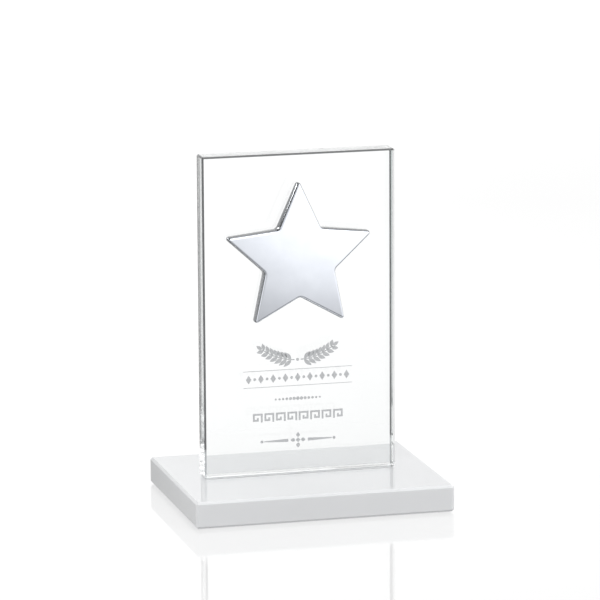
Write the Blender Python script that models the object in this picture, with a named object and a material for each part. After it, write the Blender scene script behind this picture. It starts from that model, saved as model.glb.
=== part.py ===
"""Star trophy: a white glass slab, a clear glass panel standing on it, and a plated star on the panel.

Lengths are in metres. +Z is up, the star faces -Y, and the trophy's width runs along X. The origin is
under the middle of the slab, on the surface that the trophy stands on.
"""

import math

import bmesh
import bpy
from mathutils import Vector

MM = 0.001

# Glued faces stand this far apart, so that no two solids overlap.
GLUE_GAP = 0.1 * MM

FOOT_RADIUS = 5.0 * MM
FOOT_HEIGHT = 0.4 * MM
FOOT_EDGE_MARGIN = 13.0 * MM
FOOT_SIDES = 48

SLAB_WIDTH = 135.5 * MM
SLAB_DEPTH = 105.0 * MM
SLAB_THICKNESS = 13.8 * MM
SLAB_CHAMFER = 1.15 * MM

PANEL_WIDTH = 101.6 * MM
PANEL_DEPTH = 12.5 * MM
PANEL_HEIGHT = 167.2 * MM
PANEL_CHAMFER = 0.8 * MM
# The panel and the star are placed by hand, and both stand a little left of the slab's middle.
PANEL_X = -1.2 * MM

BOND_THICKNESS = 0.2 * MM
# The adhesive film stops at the foot of the panel's chamfer.
BOND_INSET = PANEL_CHAMFER

STAR_X = -2.6 * MM
STAR_TIP_RADIUS = 41.2 * MM
STAR_NOTCH_RATIO = 0.477
STAR_THICKNESS = 6.4 * MM
STAR_TIP_ROUND = 1.3 * MM
STAR_NOTCH_ROUND = 2.8 * MM
STAR_FACE_ROUND = 1.1 * MM
STAR_BACK_ROUND = 0.3 * MM
STAR_BELOW_PANEL_TOP = 54.0 * MM
STAR_POINTS = 5

TAPE_THICKNESS = 0.9 * MM
TAPE_INSET = 2.2 * MM

ARC_STEPS = 5
ROUND_STEPS = 4

# Heights and depths that follow from the sizes above.
SLAB_BOTTOM = FOOT_HEIGHT + GLUE_GAP
SLAB_TOP = SLAB_BOTTOM + SLAB_THICKNESS
BOND_BOTTOM = SLAB_TOP + GLUE_GAP
PANEL_BOTTOM = BOND_BOTTOM + BOND_THICKNESS + GLUE_GAP
PANEL_TOP = PANEL_BOTTOM + PANEL_HEIGHT
STAR_Z = PANEL_TOP - STAR_BELOW_PANEL_TOP
TAPE_BACK = -PANEL_DEPTH / 2 - GLUE_GAP
STAR_BACK = TAPE_BACK - TAPE_THICKNESS - GLUE_GAP


def clear_scene():
    for obj in list(bpy.data.objects):
        bpy.data.objects.remove(obj, do_unlink=True)


def principled(name, colour, roughness, metallic=0.0):
    """A Principled material, with the shader node it is set on."""
    material = bpy.data.materials.new(name)
    material.use_nodes = True
    material.diffuse_color = (*colour, 1.0)
    shader = material.node_tree.nodes["Principled BSDF"]
    shader.inputs["Base Color"].default_value = (*colour, 1.0)
    shader.inputs["Roughness"].default_value = roughness
    shader.inputs["Metallic"].default_value = metallic
    return material, shader


def clear_solid(name, colour, roughness, ior):
    """A see-through material, such as glass or cured adhesive."""
    material, shader = principled(name, colour, roughness)
    shader.inputs["Transmission Weight"].default_value = 1.0
    shader.inputs["IOR"].default_value = ior
    return material


def opal_glass():
    material, _ = principled("opal_glass", (0.86, 0.88, 0.88), 0.06)
    return material


def clear_glass():
    return clear_solid("clear_glass", (0.98, 1.0, 0.99), 0.0, 1.52)


def cured_adhesive():
    return clear_solid("cured_adhesive", (0.96, 0.97, 0.95), 0.05, 1.5)


def clear_vinyl():
    return clear_solid("clear_vinyl", (0.94, 0.94, 0.93), 0.25, 1.49)


def plated_metal():
    material, _ = principled("plated_metal", (0.78, 0.79, 0.81), 0.12, metallic=1.0)
    return material


def foam_tape():
    material, _ = principled("foam_tape", (0.55, 0.56, 0.57), 0.7)
    return material


def add_object(name, mesh_data, material, location=(0.0, 0.0, 0.0)):
    """Turns a bmesh into a named object with one material."""
    bmesh.ops.recalc_face_normals(mesh_data, faces=mesh_data.faces)
    mesh = bpy.data.meshes.new(name)
    mesh_data.to_mesh(mesh)
    mesh_data.free()
    mesh.materials.append(material)
    obj = bpy.data.objects.new(name, mesh)
    obj.location = location
    bpy.context.scene.collection.objects.link(obj)
    return obj


def add_block(name, size, location, material, chamfer=0.0):
    """A rectangular block, with every edge chamfered at 45 degrees where a chamfer is given."""
    block = bmesh.new()
    bmesh.ops.create_cube(block, size=1.0)
    bmesh.ops.scale(block, vec=Vector(size), verts=block.verts)
    obj = add_object(name, block, material, location)
    if chamfer:
        bevel = obj.modifiers.new("chamfer", "BEVEL")
        bevel.width = chamfer
        bevel.segments = 1
        bevel.limit_method = "NONE"
    return obj


def star_corners(inset):
    """The star's sharp corners, tips and notches in turn, on an outline this far inside the full one."""
    half_step = math.pi / STAR_POINTS
    notch_radius = STAR_TIP_RADIUS * STAR_NOTCH_RATIO
    run = STAR_TIP_RADIUS - notch_radius * math.cos(half_step)
    rise = notch_radius * math.sin(half_step)
    edge_distance = STAR_TIP_RADIUS * rise / math.hypot(run, rise)
    scale = (edge_distance - inset) / edge_distance
    corners = []
    for index in range(2 * STAR_POINTS):
        angle = math.pi / 2 + index * half_step
        radius = scale * (notch_radius if index % 2 else STAR_TIP_RADIUS)
        corners.append(Vector((radius * math.cos(angle), radius * math.sin(angle))))
    return corners


def rounded_corner(before, corner, after, radius):
    """The arc that rounds a corner of an outline, as points from the first side to the second."""
    to_before = (before - corner).normalized()
    to_after = (after - corner).normalized()
    half_angle = to_before.angle(to_after) / 2
    centre = corner + (to_before + to_after).normalized() * radius / math.sin(half_angle)
    start = corner + to_before * radius / math.tan(half_angle) - centre
    turn = start.angle_signed(corner + to_after * radius / math.tan(half_angle) - centre)
    points = []
    for step in range(ARC_STEPS + 1):
        angle = -turn * step / ARC_STEPS
        across = Vector((-start.y, start.x))
        points.append(centre + start * math.cos(angle) + across * math.sin(angle))
    return points


def star_outline(inset):
    """The rounded star, this far inside its full outline: tips grow sharper and notches rounder."""
    corners = star_corners(inset)
    points = []
    for index, corner in enumerate(corners):
        after = corners[(index + 1) % len(corners)]
        if index % 2:
            radius = STAR_NOTCH_ROUND + inset
        else:
            radius = max(STAR_TIP_ROUND - inset, 0.05 * MM)
        points += rounded_corner(corners[index - 1], corner, after, radius)
    return points


def add_star_solid(name, rings, location, material):
    """A solid through star outlines, each given as (depth, inset), with flat ends. Depth runs towards -Y."""
    solid = bmesh.new()
    loops = []
    for depth, inset in rings:
        loops.append([solid.verts.new((point.x, -depth, point.y)) for point in star_outline(inset)])
    count = len(loops[0])
    for near, far in zip(loops, loops[1:]):
        for index in range(count):
            following = (index + 1) % count
            solid.faces.new((near[index], near[following], far[following], far[index]))
    solid.faces.new(loops[0])
    solid.faces.new(loops[-1])
    obj = add_object(name, solid, material, location)
    obj.data.shade_smooth()
    obj.data.set_sharp_from_angle(angle=math.radians(30))
    return obj


def add_feet():
    """Four thin clear discs under the slab's corners."""
    material = clear_vinyl()
    reach_x = SLAB_WIDTH / 2 - FOOT_EDGE_MARGIN
    reach_y = SLAB_DEPTH / 2 - FOOT_EDGE_MARGIN
    for row, side_y in (("front", -1), ("back", 1)):
        for side, side_x in (("left", -1), ("right", 1)):
            disc = bmesh.new()
            bmesh.ops.create_cone(
                disc,
                cap_ends=True,
                segments=FOOT_SIDES,
                radius1=FOOT_RADIUS,
                radius2=FOOT_RADIUS,
                depth=FOOT_HEIGHT,
            )
            place = (side_x * reach_x, side_y * reach_y, FOOT_HEIGHT / 2)
            foot = add_object(f"foot_{row}_{side}", disc, material, place)
            foot.data.shade_smooth()
            foot.data.set_sharp_from_angle(angle=math.radians(30))


def add_slab():
    size = (SLAB_WIDTH, SLAB_DEPTH, SLAB_THICKNESS)
    place = (0.0, 0.0, SLAB_BOTTOM + SLAB_THICKNESS / 2)
    add_block("base_slab", size, place, opal_glass(), SLAB_CHAMFER)


def add_bond():
    """The film of adhesive between the slab and the panel."""
    size = (PANEL_WIDTH - 2 * BOND_INSET, PANEL_DEPTH - 2 * BOND_INSET, BOND_THICKNESS)
    place = (PANEL_X, 0.0, BOND_BOTTOM + BOND_THICKNESS / 2)
    add_block("panel_bond", size, place, cured_adhesive())


def add_panel():
    size = (PANEL_WIDTH, PANEL_DEPTH, PANEL_HEIGHT)
    place = (PANEL_X, 0.0, PANEL_BOTTOM + PANEL_HEIGHT / 2)
    add_block("glass_panel", size, place, clear_glass(), PANEL_CHAMFER)


def add_tape():
    """The foam tape between the panel and the star, cut to the star's outline."""
    rings = [(0.0, TAPE_INSET), (TAPE_THICKNESS, TAPE_INSET)]
    add_star_solid("star_tape", rings, (STAR_X, TAPE_BACK, STAR_Z), foam_tape())


def add_star():
    """The plated casting: straight sides, a rounded front edge and a slightly eased back edge."""
    rings = [(0.0, STAR_BACK_ROUND), (STAR_BACK_ROUND, 0.0)]
    for step in range(ROUND_STEPS + 1):
        angle = math.pi / 2 * step / ROUND_STEPS
        depth = STAR_THICKNESS - STAR_FACE_ROUND * (1 - math.sin(angle))
        rings.append((depth, STAR_FACE_ROUND * (1 - math.cos(angle))))
    add_star_solid("star_casting", rings, (STAR_X, STAR_BACK, STAR_Z), plated_metal())


def main():
    clear_scene()
    add_feet()
    add_slab()
    add_bond()
    add_panel()
    add_tape()
    add_star()


main()
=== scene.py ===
"""The star trophy's looks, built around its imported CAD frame. Lengths are in metres."""

import math

import bmesh
import bpy
from mathutils import Matrix, Vector


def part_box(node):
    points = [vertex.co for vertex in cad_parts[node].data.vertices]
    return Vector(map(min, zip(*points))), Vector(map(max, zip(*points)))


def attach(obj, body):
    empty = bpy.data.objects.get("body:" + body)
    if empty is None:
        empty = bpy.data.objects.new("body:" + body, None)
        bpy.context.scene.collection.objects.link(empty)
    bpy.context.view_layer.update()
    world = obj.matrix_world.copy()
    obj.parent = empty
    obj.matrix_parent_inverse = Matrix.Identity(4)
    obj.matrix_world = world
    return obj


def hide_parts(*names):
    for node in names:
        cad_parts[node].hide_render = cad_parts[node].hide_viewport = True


MM = 0.001

# Camera, as azimuth from the front, height angle and distance from the point it looks at.
CAMERA_AZIMUTH = math.radians(-14.7)
CAMERA_ELEVATION = math.radians(11.23)
CAMERA_ROLL = math.radians(-0.333)
CAMERA_DISTANCE = 2.197
CAMERA_TARGET = Vector((0.0005, 0.0, 0.1044))
SENSOR_WIDTH = 36.0
LENS = 7.13 * SENSOR_WIDTH

# Shapes that follow the CAD parts.
SLAB_CHAMFER = 1.15 * MM
PANEL_CHAMFER = 0.8 * MM
EDGE_SOFTENING = 0.08 * MM
OPTICAL_OVERLAP = 0.02 * MM
GLASS_IOR = 1.55
BOND_RIM_STEPS = 6
SMOOTH_ANGLE = math.radians(40)
STAR_POINTS = 5
STAR_NOTCH_RATIO = 0.477
STAR_TIP_ROUND = 1.3 * MM
STAR_NOTCH_ROUND = 2.8 * MM
STAR_EDGE_INSET = 1.2 * MM
STAR_EDGE_DEPTH = 4.2 * MM
STAR_BACK_ROUND = 0.3 * MM
STAR_CROWN = 1.8 * MM
STAR_ARC_STEPS = 14
STAR_SIDE_STEPS = 10
STAR_ROUND_STEPS = 12
STAR_FACE_RINGS = 40
STAR_SIDE_RINGS = 10

# Material slots of a chamfered block, with its narrow sides in the order of the table of their painted
# shade below.
FACE_SLOT, CHAMFER_SLOT, LEFT_SLOT, RIGHT_SLOT, TOP_SLOT = range(5)

# Heights above the panel's foot. Its edges are painted pale up to the first and painted dark from the
# second: painted light for the white slab that shows through them near the foot, and painted shade for dark
# surroundings higher up. The painted streaks on its narrow sides lie between the other three.
PALE_UP_TO = 14.0 * MM
DARK_FROM = 16.0 * MM
STREAKS_START = 15.0 * MM
STREAKS_PEAK = 18.0 * MM
STREAKS_END = 32.0 * MM

# The share of their width over which the painted dark bands along a narrow side are at their darkest.
BAND_CORE = 0.7

# Painted shade on each narrow side, for the dark surroundings its edge would show: how bright its glass is
# painted, the widths of its front and back painted dark bands, and the bands' tint.
SIDE_PAINTED_SHADES = {
    "left": (1.0, 0.3 * MM, 4.0 * MM, 0.07),
    "right": (0.9, 0.3 * MM, 1.2 * MM, 0.2),
    "top": (0.4, 1.0 * MM, 0.3 * MM, 0.3),
}

# A dull green, painted in streaks where the narrow sides show the slab's back edge through the glass.
PAINTED_STREAK_COLOUR = (0.05, 0.08, 0.075)

# The glass is at its clearest from this share of the panel's height; below it, painted shade makes the
# glass more grey towards its foot.
CLEAREST_FROM = 0.6

# The white card that the star's sides reflect.
CARD_AZIMUTH = math.radians(-34)
CARD_DISTANCE = 0.35
CARD_WIDTH = 0.17
CARD_HEIGHT = 0.08
CARD_RISE = 0.076
CARD_BRIGHTNESS = 10.0

# The fill light beyond the slab's front left corner. It stands and aims this far behind the slab's front.
FILL_SIZE = 0.1
FILL_ENERGY = 0.045
FILL_DISTANCE = 0.09
FILL_HEIGHT = 0.025
FILL_STAND = 5.0 * MM
FILL_AIM = 20.0 * MM

# The floor's glow near the trophy and far away, and the distances from the middle between which it fades.
FLOOR_HALF_SIZE = 30.0
FLOOR_NEAR_GLOW = 0.575
FLOOR_FAR_GLOW = 0.46
FLOOR_FADE_START = 0.2
FLOOR_FADE_END = 0.9

# The sandblasted decoration, as heights above the panel's foot.
ETCH_DEPTH = 0.03 * MM
ETCH_GAP = 0.01 * MM
LAUREL_HEIGHT = 63.0 * MM
RULE_HEIGHTS = (55.0 * MM, 46.4 * MM)
LOZENGE_HEIGHT = 50.7 * MM
BEAD_HEIGHT = 39.6 * MM
KEY_HEIGHT = 30.1 * MM
FLOURISH_HEIGHT = 17.7 * MM


# Node helpers


def new_material(name):
    """An empty material with its node tree and Principled shader."""
    material = bpy.data.materials.new(name)
    material.use_nodes = True
    return material, material.node_tree, material.node_tree.nodes["Principled BSDF"]


def set_inputs(node, **values):
    """Sets a node's inputs by name, with an underscore for each space."""
    for name, value in values.items():
        node.inputs[name.replace("_", " ")].default_value = value


def noise(tree, scale, detail=2.0):
    """Noise in object space, so that its grain has a real size. Scale is in waves per metre."""
    place = tree.nodes.new("ShaderNodeTexCoord")
    texture = tree.nodes.new("ShaderNodeTexNoise")
    set_inputs(texture, Scale=scale, Detail=detail, Roughness=0.5)
    tree.links.new(place.outputs["Object"], texture.inputs["Vector"])
    return texture.outputs["Fac"]


def ramp(tree, factor, low, high):
    """A colour that runs between two as factor goes over its middle range."""
    node = tree.nodes.new("ShaderNodeValToRGB")
    node.color_ramp.elements[0].position = 0.3
    node.color_ramp.elements[1].position = 0.7
    node.color_ramp.elements[0].color = (*low, 1.0)
    node.color_ramp.elements[1].color = (*high, 1.0)
    tree.links.new(factor, node.inputs["Fac"])
    return node.outputs["Color"]


def span(tree, factor, low, high, start=0.3, end=0.7):
    """A number that runs from low to high as factor goes from start to end."""
    node = tree.nodes.new("ShaderNodeMapRange")
    set_inputs(node, From_Min=start, From_Max=end, To_Min=low, To_Max=high)
    tree.links.new(factor, node.inputs["Value"])
    return node.outputs["Result"]


def bump(tree, shader, height, distance):
    """Fine relief on a shader, this deep."""
    node = tree.nodes.new("ShaderNodeBump")
    set_inputs(node, Strength=1.0, Distance=distance)
    tree.links.new(height, node.inputs["Height"])
    tree.links.new(node.outputs["Normal"], shader.inputs["Normal"])


def object_axis(tree, axis):
    """One coordinate, X, Y or Z, in object space, which is in metres from the frame's origin."""
    place = tree.nodes.new("ShaderNodeTexCoord")
    parts = tree.nodes.new("ShaderNodeSeparateXYZ")
    tree.links.new(place.outputs["Object"], parts.inputs["Vector"])
    return parts.outputs[axis]


def combine(tree, operation, first, second):
    """The result of a maths operation, such as MINIMUM or MULTIPLY, on two sockets."""
    node = tree.nodes.new("ShaderNodeMath")
    node.operation = operation
    tree.links.new(first, node.inputs[0])
    tree.links.new(second, node.inputs[1])
    return node.outputs["Value"]


def blend(tree, factor, first, second):
    """A colour that goes from first to second, each a colour or a socket, as factor goes from 0 to 1."""
    node = tree.nodes.new("ShaderNodeMix")
    node.data_type = "RGBA"
    tree.links.new(factor, node.inputs["Factor"])
    # The Mix node's sockets 6 and 7 are its two colours, and its output 2 is the mixed colour.
    for socket, colour in ((node.inputs[6], first), (node.inputs[7], second)):
        if isinstance(colour, tuple):
            socket.default_value = (*colour, 1.0)
        else:
            tree.links.new(colour, socket)
    return node.outputs[2]


# Materials


def clear_glass(foot, clearest):
    """Low-iron glass, with faces that aren't perfectly flat, and painted shade that makes it a little more
    grey towards its foot, for the shaded floor seen through its lower part.
    """
    material, tree, shader = new_material("clear_glass")
    set_inputs(shader, Roughness=0.0, IOR=GLASS_IOR, Transmission_Weight=1.0)
    grain = noise(tree, 40.0)
    # Painted shade: a more grey tint near the foot, which clears with height.
    painted_shade_grey = ramp(tree, grain, (0.89, 0.90, 0.90), (0.90, 0.91, 0.91))
    clearer = ramp(tree, grain, (0.96, 0.965, 0.965), (0.97, 0.975, 0.975))
    climb = span(tree, object_axis(tree, "Z"), 0.0, 1.0, foot, clearest)
    tree.links.new(blend(tree, climb, painted_shade_grey, clearer), shader.inputs["Base Color"])
    bump(tree, shader, noise(tree, 60.0, detail=0.0), 0.01 * MM)
    depth = tree.nodes.new("ShaderNodeVolumeAbsorption")
    depth.inputs["Color"].default_value = (0.88, 0.92, 0.915, 1.0)
    depth.inputs["Density"].default_value = 1.5
    tree.links.new(depth.outputs["Volume"], tree.nodes["Material Output"].inputs["Volume"])
    return material


def polished_glass_edge(foot):
    """Ground and polished chamfers, which draw the block's outline in painted shade: painted dark for the
    dark surroundings that a cut edge shows, but painted pale near the white slab, which shows through
    there.
    """
    material, tree, shader = new_material("polished_glass_edge")
    set_inputs(shader, Roughness=0.0, IOR=GLASS_IOR, Transmission_Weight=1.0)
    grain = noise(tree, 150.0)
    # Painted light and shade: a pale tint near the foot, where the slab shows through, and a near-black
    # tint higher up.
    pale = ramp(tree, grain, (0.29, 0.31, 0.32), (0.39, 0.41, 0.42))
    dark = ramp(tree, grain, (0.012, 0.013, 0.014), (0.020, 0.021, 0.022))
    above_foot = span(tree, object_axis(tree, "Z"), 0.0, 1.0, foot + PALE_UP_TO, foot + DARK_FROM)
    tree.links.new(blend(tree, above_foot, pale, dark), shader.inputs["Base Color"])
    return material


def painted_shade_bands(tree, low, high, front_band, back_band):
    """A factor for painted shade that is 1 in the dark bands beside a narrow side's two long chamfers, and
    0 near the foot.
    """
    depth = object_axis(tree, "Y")
    front, back = low.y + PANEL_CHAMFER, high.y - PANEL_CHAMFER
    near_front = span(tree, depth, 1.0, 0.0, front + BAND_CORE * front_band, front + front_band)
    near_back = span(tree, depth, 0.0, 1.0, back - back_band, back - BAND_CORE * back_band)
    above_foot = span(tree, object_axis(tree, "Z"), 0.0, 1.0, low.z + PALE_UP_TO, low.z + DARK_FROM)
    return combine(tree, "MULTIPLY", combine(tree, "MAXIMUM", near_front, near_back), above_foot)


def painted_foot_streaks(tree, foot):
    """A patchy factor for painted streaks, which stand in for the slab's back edge seen through the glass:
    it starts a little above the foot, soon peaks and fades out higher up.
    """
    height = object_axis(tree, "Z")
    rise = span(tree, height, 0.0, 1.0, foot + STREAKS_START, foot + STREAKS_PEAK)
    fall = span(tree, height, 1.0, 0.0, foot + STREAKS_PEAK, foot + STREAKS_END)
    patches = span(tree, noise(tree, 190.0), 0.4, 1.0)
    return combine(tree, "MULTIPLY", combine(tree, "MINIMUM", rise, fall), patches)


def polished_glass_side(side, low, high, painted_brightness, front_band, back_band, painted_band_tint):
    """A narrow side between two chamfers: clear in the middle, with painted dark bands beside the chamfers,
    painted streaks a little above the foot, and its whole glass made a little darker as painted shade.
    """
    material, tree, shader = new_material(f"polished_glass_{side}")
    set_inputs(shader, Roughness=0.0, IOR=GLASS_IOR, Transmission_Weight=1.0)
    # Painted shade: the whole side's glass is scaled darker by its painted level.
    darkest, clearest = painted_brightness * Vector((0.93, 0.96, 0.96)), painted_brightness * Vector((0.99, 1.0, 1.0))
    clear = ramp(tree, noise(tree, 110.0), darkest, clearest)
    # Painted streaks, standing in for the slab's back edge seen through the glass.
    middle = blend(tree, painted_foot_streaks(tree, low.z), clear, PAINTED_STREAK_COLOUR)
    # Painted shade: dark bands beside the long chamfers.
    bands = painted_shade_bands(tree, low, high, front_band, back_band)
    banded = blend(tree, bands, middle, (painted_band_tint, painted_band_tint, painted_band_tint))
    tree.links.new(banded, shader.inputs["Base Color"])
    return material


def opal_glass():
    """White glass: a bright body with light spread inside it, under a mirror-smooth surface."""
    material, tree, shader = new_material("opal_glass")
    set_inputs(shader, IOR=1.52, Subsurface_Weight=0.35, Subsurface_Scale=0.004)
    shader.inputs["Subsurface Radius"].default_value = (1.0, 1.0, 1.0)
    white = ramp(tree, noise(tree, 25.0), (0.58, 0.587, 0.597), (0.595, 0.602, 0.612))
    tree.links.new(white, shader.inputs["Base Color"])
    tree.links.new(span(tree, noise(tree, 90.0), 0.015, 0.03), shader.inputs["Roughness"])
    return material


def plated_metal():
    """Bright plating over a polished casting, with the faint unevenness that polishing leaves."""
    material, tree, shader = new_material("plated_metal")
    set_inputs(shader, Metallic=1.0)
    grain = noise(tree, 120.0, detail=4.0)
    silver = ramp(tree, grain, (0.79, 0.82, 0.88), (0.83, 0.86, 0.92))
    tree.links.new(silver, shader.inputs["Base Color"])
    tree.links.new(span(tree, grain, 0.06, 0.09), shader.inputs["Roughness"])
    bump(tree, shader, noise(tree, 90.0, detail=1.0), 0.03 * MM)
    return material


def plated_metal_in_painted_shade():
    """The casting's sides: the same plating, painted much darker as painted shade, and a little sharper."""
    material, tree, shader = new_material("plated_metal_in_painted_shade")
    set_inputs(shader, Metallic=1.0)
    grain = noise(tree, 160.0, detail=4.0)
    # Painted shade: a dark silver instead of the face's bright one.
    painted_shade_silver = ramp(tree, grain, (0.165, 0.17, 0.18), (0.22, 0.225, 0.235))
    tree.links.new(painted_shade_silver, shader.inputs["Base Color"])
    tree.links.new(span(tree, grain, 0.03, 0.05), shader.inputs["Roughness"])
    bump(tree, shader, noise(tree, 140.0, detail=1.0), 0.02 * MM)
    return material


def etched_glass():
    """Sandblasted glass, which scatters light into a pale grey."""
    material, tree, shader = new_material("etched_glass")
    set_inputs(shader, Roughness=0.85, Alpha=0.9)
    frost = ramp(tree, noise(tree, 2500.0), (0.44, 0.45, 0.46), (0.54, 0.55, 0.56))
    tree.links.new(frost, shader.inputs["Base Color"])
    bump(tree, shader, noise(tree, 5000.0), 0.02 * MM)
    return material


def foam_tape():
    """Pale grey foam with an open grain."""
    material, tree, shader = new_material("foam_tape")
    set_inputs(shader, Roughness=0.8)
    foam = ramp(tree, noise(tree, 3000.0), (0.42, 0.43, 0.44), (0.58, 0.59, 0.60))
    tree.links.new(foam, shader.inputs["Base Color"])
    bump(tree, shader, noise(tree, 4000.0), 0.05 * MM)
    return material


def cured_adhesive():
    """Milky white adhesive, slightly uneven in tone."""
    material, tree, shader = new_material("cured_adhesive")
    set_inputs(shader, Roughness=0.15, IOR=1.5)
    milk = ramp(tree, noise(tree, 300.0), (0.90, 0.91, 0.91), (0.97, 0.97, 0.97))
    tree.links.new(milk, shader.inputs["Base Color"])
    return material


def clear_vinyl():
    """Soft clear plastic, with a slightly matt skin."""
    material, tree, shader = new_material("clear_vinyl")
    set_inputs(shader, Roughness=0.25, IOR=1.49, Transmission_Weight=1.0)
    plastic = ramp(tree, noise(tree, 800.0), (0.90, 0.90, 0.88), (0.96, 0.96, 0.95))
    tree.links.new(plastic, shader.inputs["Base Color"])
    bump(tree, shader, noise(tree, 1500.0), 0.02 * MM)
    return material


def floor_acrylic():
    """A smooth white table lit from below, which glows most near the trophy."""
    material, tree, shader = new_material("floor_acrylic")
    set_inputs(shader, IOR=1.6)
    shader.inputs["Emission Color"].default_value = (1.0, 1.0, 1.0, 1.0)
    place = tree.nodes.new("ShaderNodeTexCoord")
    reach = tree.nodes.new("ShaderNodeVectorMath")
    reach.operation = "LENGTH"
    tree.links.new(place.outputs["Object"], reach.inputs[0])
    distance = reach.outputs["Value"]
    glow = span(tree, distance, FLOOR_NEAR_GLOW, FLOOR_FAR_GLOW, FLOOR_FADE_START, FLOOR_FADE_END)
    tree.links.new(glow, shader.inputs["Emission Strength"])
    grey = ramp(tree, noise(tree, 1.5), (0.15, 0.15, 0.15), (0.17, 0.17, 0.17))
    tree.links.new(grey, shader.inputs["Base Color"])
    tree.links.new(span(tree, noise(tree, 6.0), 0.045, 0.06), shader.inputs["Roughness"])
    return material


# Meshes


def add_piece(name, mesh_data, *materials, smooth_angle=None):
    """Turns a bmesh into an object. Faces within smooth_angle of each other are shaded as one surface."""
    bmesh.ops.recalc_face_normals(mesh_data, faces=mesh_data.faces)
    mesh = bpy.data.meshes.new(name)
    mesh_data.to_mesh(mesh)
    mesh_data.free()
    for material in materials:
        mesh.materials.append(material)
    if smooth_angle is not None:
        mesh.shade_smooth()
        mesh.set_sharp_from_angle(angle=smooth_angle)
    obj = bpy.data.objects.new(name, mesh)
    bpy.context.scene.collection.objects.link(obj)
    return obj


def chamfered_block(low, high, chamfer):
    """A block with material slots for its chamfers and narrow sides. Every edge is very slightly rounded.

    The front right chamfer and the foot's back and side chamfers keep the slot of the faces.
    """
    block = bmesh.new()
    bmesh.ops.create_cube(block, size=1.0)
    bmesh.ops.scale(block, vec=high - low, verts=block.verts)
    bmesh.ops.translate(block, vec=(low + high) / 2, verts=block.verts)
    cutting = {"offset": chamfer, "segments": 1, "profile": 0.5}
    cut = bmesh.ops.bevel(block, geom=block.edges[:], affect="EDGES", **cutting)
    for face in cut["faces"]:
        front_right = face.normal.x > 0.1 and face.normal.y < -0.1
        back_foot = face.normal.z < -0.1 and face.normal.y > -0.1
        face.material_index = FACE_SLOT if front_right or back_foot else CHAMFER_SLOT
    for face in block.faces:
        if face.normal.x < -0.9:
            face.material_index = LEFT_SLOT
        elif face.normal.x > 0.9:
            face.material_index = RIGHT_SLOT
        elif face.normal.z > 0.9:
            face.material_index = TOP_SLOT
    rounding = {"offset": EDGE_SOFTENING, "segments": 2, "profile": 0.5, "material": CHAMFER_SLOT}
    bmesh.ops.bevel(block, geom=block.edges[:], affect="EDGES", **rounding)
    return block


def star_corners(tip_radius, inset):
    """The star's sharp corners, tips and notches in turn, on an outline this far inside the full one."""
    half_step = math.pi / STAR_POINTS
    notch_radius = tip_radius * STAR_NOTCH_RATIO
    run = tip_radius - notch_radius * math.cos(half_step)
    rise = notch_radius * math.sin(half_step)
    edge_distance = tip_radius * rise / math.hypot(run, rise)
    scale = (edge_distance - inset) / edge_distance
    corners = []
    for index in range(2 * STAR_POINTS):
        angle = math.pi / 2 + index * half_step
        radius = scale * (notch_radius if index % 2 else tip_radius)
        corners.append(Vector((radius * math.cos(angle), radius * math.sin(angle))))
    return corners


def rounded_corner(before, corner, after, radius, steps):
    """The arc that rounds a corner of an outline, as points from the first side to the second."""
    to_before = (before - corner).normalized()
    to_after = (after - corner).normalized()
    half_angle = to_before.angle(to_after) / 2
    centre = corner + (to_before + to_after).normalized() * radius / math.sin(half_angle)
    start = corner + to_before * radius / math.tan(half_angle) - centre
    end = corner + to_after * radius / math.tan(half_angle) - centre
    turn = start.angle_signed(end)
    across = Vector((-start.y, start.x))
    points = []
    for step in range(steps + 1):
        angle = -turn * step / steps
        points.append(centre + start * math.cos(angle) + across * math.sin(angle))
    return points


def star_outline(tip_radius, inset):
    """The rounded star, this far inside its full outline, with extra points along its straight sides."""
    corners = star_corners(tip_radius, inset)
    arcs = []
    for index, corner in enumerate(corners):
        after = corners[(index + 1) % len(corners)]
        if index % 2:
            radius = STAR_NOTCH_ROUND + inset
        else:
            radius = STAR_TIP_ROUND - inset
        arcs.append(rounded_corner(corners[index - 1], corner, after, radius, STAR_ARC_STEPS))
    points = []
    for index, arc in enumerate(arcs):
        following = arcs[(index + 1) % len(arcs)]
        points += arc
        for step in range(1, STAR_SIDE_STEPS):
            points.append(arc[-1].lerp(following[0], step / STAR_SIDE_STEPS))
    return points


def bridge_rings(mesh_data, rings):
    """Faces between each ring of points and the next, all with the same number of points."""
    loops = [[mesh_data.verts.new(point) for point in ring] for ring in rings]
    count = len(loops[0])
    for near, far in zip(loops, loops[1:]):
        for index in range(count):
            following = (index + 1) % count
            mesh_data.faces.new((near[index], near[following], far[following], far[index]))
    return loops


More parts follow.
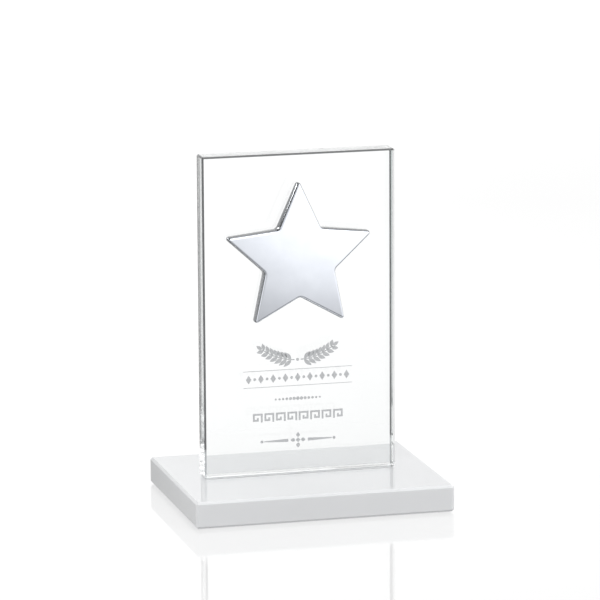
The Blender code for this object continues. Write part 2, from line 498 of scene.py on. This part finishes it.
def star_mesh(low, high):
    """The casting: a flat back, straight sides, a rounded front edge and a slightly domed face."""
    thickness = high.y - low.y
    tip_radius = tip_radius_for(high.x - low.x)
    centre = Vector(((low.x + high.x) / 2, (high.z - top_reach(tip_radius))))

    def ring(depth, inset, scale=1.0):
        points = []
        for point in star_outline(tip_radius, inset):
            place = point * scale
            fall = STAR_CROWN * min(place.length / tip_radius, 1.0) ** 2 * depth / thickness
            points.append((centre.x + place.x, high.y - depth + fall, centre.y + place.y))
        return points

    rings = [ring(0.0, STAR_BACK_ROUND), ring(STAR_BACK_ROUND, 0.0)]
    for step in range(STAR_ROUND_STEPS + 1):
        angle = math.pi / 2 * step / STAR_ROUND_STEPS
        depth = thickness - STAR_EDGE_DEPTH * (1 - math.sin(angle))
        rings.append(ring(depth, STAR_EDGE_INSET * (1 - math.cos(angle))))
    for step in range(1, STAR_FACE_RINGS):
        rings.append(ring(thickness, STAR_EDGE_INSET, 1 - step / STAR_FACE_RINGS))
    star = bmesh.new()
    loops = bridge_rings(star, rings)
    side_faces = STAR_SIDE_RINGS * len(loops[0])
    # The sides take the darker copy of the plating, which is painted shade.
    for face in list(star.faces)[:side_faces]:
        face.material_index = 1
    star.faces.new(loops[0])
    middle = star.verts.new((centre.x, low.y, centre.y))
    last = loops[-1]
    for index, vertex in enumerate(last):
        star.faces.new((vertex, last[(index + 1) % len(last)], middle))
    return star


def rounding_loss(radius):
    """How much a tip's rounding takes off the radius of its sharp corner."""
    half_step = math.pi / STAR_POINTS
    half_tip = math.atan2(
        STAR_NOTCH_RATIO * math.sin(half_step), 1 - STAR_NOTCH_RATIO * math.cos(half_step)
    )
    return radius * (1 / math.sin(half_tip) - 1)


def tip_radius_for(width):
    """The radius of the sharp tips of a star whose rounded tips span this width."""
    reach = math.cos(math.pi / 2 - 2 * math.pi / STAR_POINTS)
    round_centre = (width / 2 - STAR_TIP_ROUND) / reach
    return round_centre + STAR_TIP_ROUND + rounding_loss(STAR_TIP_ROUND)


def top_reach(tip_radius):
    """How far the rounded top tip stands above the star's centre."""
    return tip_radius - rounding_loss(STAR_TIP_ROUND)


# The sandblasted decoration. Outlines are in the panel's plane, with x to the right and y up.


def leaf_outline(root, direction, length, width, steps=10):
    """A pointed leaf that grows from root along direction."""
    across = Vector((-direction.y, direction.x))
    side = []
    for step in range(1, steps):
        along = step / steps
        half_width = width / 2 * math.sin(math.pi * along ** 0.8)
        side.append((along * length, half_width))
    right = [root + direction * a - across * w for a, w in side]
    left = [root + direction * a + across * w for a, w in reversed(side)]
    return [root, *right, root + direction * length, *left]


def lozenge_outline(centre, width, height):
    """A lozenge that stands on its point."""
    corners = ((width / 2, 0), (0, height / 2), (-width / 2, 0), (0, -height / 2))
    return [centre + Vector(corner) for corner in corners]


def bead_outline(centre, radius, sides=24):
    """A round bead, as a polygon."""
    turns = [2 * math.pi * index / sides for index in range(sides)]
    return [centre + radius * Vector((math.cos(turn), math.sin(turn))) for turn in turns]


def bar_outline(start, end, start_width, end_width):
    """A straight bar, which may taper."""
    along = (end - start).normalized()
    across = Vector((-along.y, along.x))
    return [
        start - across * start_width / 2,
        end - across * end_width / 2,
        end + across * end_width / 2,
        start + across * start_width / 2,
    ]


def ribbon_outline(points, width):
    """A band of constant width along a chain of points, with mitred corners and square ends."""
    left, right = [], []
    for index, point in enumerate(points):
        before = (point - points[index - 1]).normalized() if index else None
        after = (points[index + 1] - point).normalized() if index + 1 < len(points) else None
        along = ((before or after) + (after or before)).normalized()
        across = Vector((-along.y, along.x))
        reach = width / 2 / along.dot(after or before)
        left.append(point + across * reach)
        right.append(point - across * reach)
    return right + left[::-1]


def laurel_outlines():
    """Two leafy sprigs that meet under a bead, each on a stem that curves up towards its tip."""
    outlines = [bead_outline(Vector((0, -3.0 * MM)), 0.8 * MM)]
    pairs = 7
    reach, rise = 17.0 * MM, 6.0 * MM
    for side in (-1, 1):

        def stem(along):
            return Vector((side * (1.6 * MM + reach * along), rise * along ** 2 - 3.0 * MM))

        points = [stem(step / 24) for step in range(25)]
        outlines.append(ribbon_outline(points, 0.6 * MM))
        for index in range(pairs):
            along = (index + 0.6) / pairs
            root = stem(along)
            heading = (stem(along + 0.01) - root).normalized()
            length = (5.4 - 1.8 * along) * MM
            for lean in (-0.75, 0.75):
                spread = Matrix.Rotation(lean, 2) @ heading
                outlines.append(leaf_outline(root + spread * 0.45 * MM, spread, length, 2.1 * MM))
        tip = stem(1.0)
        heading = (tip - stem(0.97)).normalized()
        outlines.append(leaf_outline(tip + heading * 0.4 * MM, heading, 3.6 * MM, 1.8 * MM))
    return outlines


def rule_outlines():
    """Two thin rules, placed about the middle height between them."""
    middle = sum(RULE_HEIGHTS) / 2
    half_length, width = 28.8 * MM, 0.32 * MM
    outlines = []
    for height in RULE_HEIGHTS:
        level = height - middle
        ends = (Vector((-half_length, level)), Vector((half_length, level)))
        outlines.append(bar_outline(*ends, width, width))
    return outlines


def lozenge_outlines():
    """Nine lozenges between the rules, with a bead in each gap."""
    pitch = 6.5 * MM
    lozenges = [lozenge_outline(Vector((pitch * (index - 4), 0)), 3.0 * MM, 4.6 * MM) for index in range(9)]
    beads = [bead_outline(Vector((pitch * (index - 3.5), 0)), 0.75 * MM) for index in range(8)]
    return lozenges + beads


def bead_outlines():
    """A short row of beads that grow towards the middle."""
    count = 13
    outlines = []
    for index in range(count):
        from_middle = index - (count - 1) / 2
        radius = (0.95 - 0.07 * abs(from_middle)) * MM
        outlines.append(bead_outline(Vector((1.95 * MM * from_middle, 0)), radius))
    return outlines


def key_outlines():
    """A meander of right-angled hooks, mirrored about the middle."""
    hook = ((0, 0), (0, 4), (4, 4), (4, 1), (2, 1), (2, 2.4))
    cell, pitch, hooks = 1.05 * MM, 6.1 * MM, 4
    outlines = []
    for side in (-1, 1):
        for index in range(hooks):
            corner = Vector((side * (0.9 * MM + index * pitch), -2 * cell))
            points = [corner + Vector((side * x * cell, y * cell)) for x, y in hook]
            outlines.append(ribbon_outline(points, 1.0 * MM))
    return outlines


def flourish_outlines():
    """A lozenge between four petals, with a tapered bar to each side."""
    outlines = [lozenge_outline(Vector((0, 0)), 2.6 * MM, 2.6 * MM)]
    for quarter in range(4):
        heading = Vector((math.cos(math.pi / 2 * quarter), math.sin(math.pi / 2 * quarter)))
        outlines.append(leaf_outline(heading * 1.5 * MM, heading, 2.6 * MM, 2.0 * MM))
    for side in (-1, 1):
        near = Vector((side * 5.2 * MM, 0))
        far = Vector((side * 18.0 * MM, 0))
        outlines.append(bar_outline(near, far, 1.7 * MM, 0.6 * MM))
        outlines.append(bead_outline(far + Vector((side * 1.2 * MM, 0)), 0.8 * MM))
    return outlines


def etched_piece(name, outlines, x, face_y, z, material):
    """Thin solids on the panel's front face, one for each outline. Mirror reflections leave them out."""
    marks = bmesh.new()
    for outline in outlines:
        front = [marks.verts.new((x + p.x, face_y - ETCH_GAP - ETCH_DEPTH, z + p.y)) for p in outline]
        back = [marks.verts.new((x + p.x, face_y - ETCH_GAP, z + p.y)) for p in outline]
        marks.faces.new(front)
        marks.faces.new(back)
        for index in range(len(outline)):
            following = (index + 1) % len(outline)
            marks.faces.new((front[index], front[following], back[following], back[index]))
    piece = add_piece(name, marks, material)
    piece.visible_glossy = False
    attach(piece, "root")


# Pieces


def build_slab():
    """The white slab, which returns its object so that the fill light can be kept to it."""
    low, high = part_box("base_slab")
    opal = opal_glass()
    slab = add_piece("opal_slab", chamfered_block(low, high, SLAB_CHAMFER), *[opal] * 5)
    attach(slab, "root")
    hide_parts("base_slab")
    return slab


def build_panel():
    """The clear panel. Its foot touches the adhesive, and it casts no shade, as clear glass hardly does."""
    low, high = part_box("glass_panel")
    low.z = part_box("panel_bond")[1].z - OPTICAL_OVERLAP
    faces = clear_glass(low.z, low.lerp(high, CLEAREST_FROM).z)
    # The chamfers' material holds painted shade: dark edges, painted pale near the slab.
    edges = polished_glass_edge(low.z)
    # Each narrow side's material takes its painted shade from the table above.
    sides = [polished_glass_side(side, low, high, *finish) for side, finish in SIDE_PAINTED_SHADES.items()]
    panel = add_piece("clear_panel", chamfered_block(low, high, PANEL_CHAMFER), faces, edges, *sides)
    panel.visible_diffuse = False
    panel.visible_shadow = False
    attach(panel, "root")
    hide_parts("glass_panel")


def build_bond():
    """The milky film of adhesive under the panel, which shows white through its foot. Its rim bulges."""
    low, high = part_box("panel_bond")
    thickness = high.z - low.z
    rings = []
    for step in range(BOND_RIM_STEPS + 1):
        turn = math.pi * step / BOND_RIM_STEPS
        inset = thickness / 2 * (1 - math.sin(turn))
        z = low.z + thickness / 2 * (1 - math.cos(turn))
        left, right, front, back = low.x + inset, high.x - inset, low.y + inset, high.y - inset
        rings.append([(left, front, z), (right, front, z), (right, back, z), (left, back, z)])
    film = bmesh.new()
    loops = bridge_rings(film, rings)
    film.faces.new(loops[0])
    film.faces.new(loops[-1])
    piece = add_piece("adhesive_film", film, cured_adhesive(), smooth_angle=SMOOTH_ANGLE)
    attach(piece, "root")
    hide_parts("panel_bond")


def build_star():
    """The plated star, with its sides in a darker copy of the plating, which is painted shade."""
    metals = (plated_metal(), plated_metal_in_painted_shade())
    shape = star_mesh(*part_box("star_casting"))
    star = add_piece("plated_star", shape, *metals, smooth_angle=SMOOTH_ANGLE)
    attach(star, "root")
    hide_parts("star_casting")


def build_decoration():
    """The sandblasted artwork, centred under the star."""
    star_low, star_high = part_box("star_casting")
    panel_low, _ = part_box("glass_panel")
    x = (star_low.x + star_high.x) / 2
    frost = etched_glass()
    rules_height = sum(RULE_HEIGHTS) / 2
    rows = (
        ("etched_laurel", laurel_outlines(), LAUREL_HEIGHT),
        ("etched_rules", rule_outlines(), rules_height),
        ("etched_lozenges", lozenge_outlines(), LOZENGE_HEIGHT),
        ("etched_beads", bead_outlines(), BEAD_HEIGHT),
        ("etched_key_band", key_outlines(), KEY_HEIGHT),
        ("etched_flourish", flourish_outlines(), FLOURISH_HEIGHT),
    )
    for name, outlines, height in rows:
        etched_piece(name, outlines, x, panel_low.y, panel_low.z + height, frost)


def finish_carried_nodes(nodes):
    """Materials for the CAD nodes whose own shape is right."""
    vinyl = clear_vinyl()
    finishes = {"star_tape": foam_tape()}
    for name, obj in nodes.items():
        material = vinyl if name.startswith("foot_") else finishes.get(name)
        if material:
            obj.data.materials.clear()
            obj.data.materials.append(material)


# Stage


def build_floor():
    """The lit table. Mirror reflections see the studio in its place."""
    floor = bmesh.new()
    bmesh.ops.create_grid(floor, x_segments=8, y_segments=8, size=FLOOR_HALF_SIZE)
    piece = add_piece("floor", floor, floor_acrylic())
    piece.visible_glossy = False


def build_reflector():
    """A white card, high on the left, which draws the streak near the star's tip.

    The camera doesn't see it, and it neither lights nor shades anything else.
    """
    _, star_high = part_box("star_casting")
    towards = Vector((math.sin(CARD_AZIMUTH), math.cos(CARD_AZIMUTH), 0))
    across = Vector((towards.y, -towards.x, 0)) * CARD_WIDTH / 2
    foot = Vector((0, 0, star_high.z + CARD_RISE)) + towards * CARD_DISTANCE
    top = foot + Vector((0, 0, CARD_HEIGHT))
    card = bmesh.new()
    corners = (foot - across, foot + across, top + across, top - across)
    card.faces.new([card.verts.new(corner) for corner in corners])
    material, tree, shader = new_material("white_card")
    set_inputs(shader, Emission_Strength=CARD_BRIGHTNESS)
    glow = ramp(tree, noise(tree, 20.0), (0.97, 0.97, 0.97), (1.0, 1.0, 1.0))
    tree.links.new(glow, shader.inputs["Emission Color"])
    piece = add_piece("white_card", card, material)
    piece.visible_camera = False
    piece.visible_diffuse = False
    piece.visible_shadow = False


def build_fill_light(slab):
    """A soft light that reaches only the slab, so that its left side grows darker towards the back."""
    low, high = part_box("base_slab")
    data = bpy.data.lights.new("fill_light", "AREA")
    data.size = FILL_SIZE
    data.energy = FILL_ENERGY
    light = bpy.data.objects.new("fill_light", data)
    place = Vector((low.x - FILL_DISTANCE, low.y + FILL_STAND, FILL_HEIGHT))
    aim = Vector((low.x, low.y + FILL_AIM, (low.z + high.z) / 2))
    turn = (place - aim).to_track_quat("Z", "Y").to_matrix()
    light.matrix_world = Matrix.Translation(place) @ turn.to_4x4()
    light.visible_glossy = False
    light.visible_transmission = False
    receivers = bpy.data.collections.new("fill_receivers")
    receivers.objects.link(slab)
    light.light_linking.receiver_collection = receivers
    bpy.context.scene.collection.objects.link(light)


def build_world():
    """A pale studio all round, brighter above, with soft dark flags. Each patch is a cone of directions."""
    patches = (
        # azimuth from +Y towards +X, elevation, inner half angle, outer half angle (degrees), brightness
        (0, 90, 25, 60, 2.3),  # soft box overhead
        (0, -90, 58, 84, 0.22),  # dark below, which the star's lower half reflects
        (-153, -10, 12, 45, 0.58),  # grey flag at the front left, which the star's lower left reflects
        (149, 24, 4, 48, 1.72),  # soft light at the front right, which the star's upper half reflects
        (-66, 46, 23, 41, 0.0),  # black flag, high on the left, which shades the slab's left side
        (5, 11, 5, 13, 1.2),  # glow behind, which the slab's top reflects
        (-20, -14, 8, 14, 0.6),  # grey patch low behind, which faces turned to the left reflect
    )
    world = bpy.data.worlds.new("studio")
    bpy.context.scene.world = world
    world.use_nodes = True
    tree = world.node_tree
    place = tree.nodes.new("ShaderNodeTexCoord")
    level = tree.nodes.new("ShaderNodeValue")
    level.outputs[0].default_value = 1.0
    brightness = level.outputs[0]
    for azimuth, elevation, inner, outer, patch_level in patches:
        turn, rise = math.radians(azimuth), math.radians(elevation)
        towards = (math.sin(turn) * math.cos(rise), math.cos(turn) * math.cos(rise), math.sin(rise))
        facing = tree.nodes.new("ShaderNodeVectorMath")
        facing.operation = "DOT_PRODUCT"
        facing.inputs[1].default_value = towards
        tree.links.new(place.outputs["Generated"], facing.inputs[0])
        mask = tree.nodes.new("ShaderNodeMapRange")
        mask.interpolation_type = "SMOOTHSTEP"
        set_inputs(mask, From_Min=math.cos(math.radians(outer)), From_Max=math.cos(math.radians(inner)))
        tree.links.new(facing.outputs["Value"], mask.inputs["Value"])
        mix = tree.nodes.new("ShaderNodeMix")
        mix.inputs["B"].default_value = patch_level
        tree.links.new(mask.outputs["Result"], mix.inputs["Factor"])
        tree.links.new(brightness, mix.inputs["A"])
        brightness = mix.outputs["Result"]
    background = tree.nodes["Background"]
    background.inputs["Color"].default_value = (1.0, 1.0, 1.0, 1.0)
    tree.links.new(brightness, background.inputs["Strength"])


def build_camera():
    """The scene's camera, placed by its angles and its distance from the point that it looks at."""
    towards = Vector(
        (
            math.sin(CAMERA_AZIMUTH) * math.cos(CAMERA_ELEVATION),
            -math.cos(CAMERA_AZIMUTH) * math.cos(CAMERA_ELEVATION),
            math.sin(CAMERA_ELEVATION),
        )
    )
    data = bpy.data.cameras.new("camera")
    data.sensor_width = SENSOR_WIDTH
    data.lens = LENS
    data.clip_end = 100.0
    camera = bpy.data.objects.new("camera", data)
    turn = towards.to_track_quat("Z", "Y").to_matrix() @ Matrix.Rotation(CAMERA_ROLL, 3, "Z")
    camera.matrix_world = Matrix.Translation(CAMERA_TARGET + towards * CAMERA_DISTANCE) @ turn.to_4x4()
    bpy.context.scene.collection.objects.link(camera)
    bpy.context.scene.camera = camera


def set_light_paths():
    """Glass needs many bounces, and the white stage is shown as it is, without a film curve."""
    scene = bpy.context.scene
    scene.view_settings.view_transform = "Standard"
    scene.cycles.max_bounces = 64
    scene.cycles.transmission_bounces = 64
    scene.cycles.glossy_bounces = 48
    scene.cycles.use_denoising = True


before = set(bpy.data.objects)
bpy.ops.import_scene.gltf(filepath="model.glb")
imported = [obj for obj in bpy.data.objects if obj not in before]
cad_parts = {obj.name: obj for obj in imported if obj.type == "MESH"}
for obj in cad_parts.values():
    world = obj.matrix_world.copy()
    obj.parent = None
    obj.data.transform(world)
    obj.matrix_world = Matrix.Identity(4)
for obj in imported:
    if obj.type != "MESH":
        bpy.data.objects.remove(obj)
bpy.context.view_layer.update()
build_camera()
set_light_paths()
build_world()
build_floor()
slab = build_slab()
build_panel()
build_bond()
build_star()
build_decoration()
finish_carried_nodes(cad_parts)
build_reflector()
build_fill_light(slab)
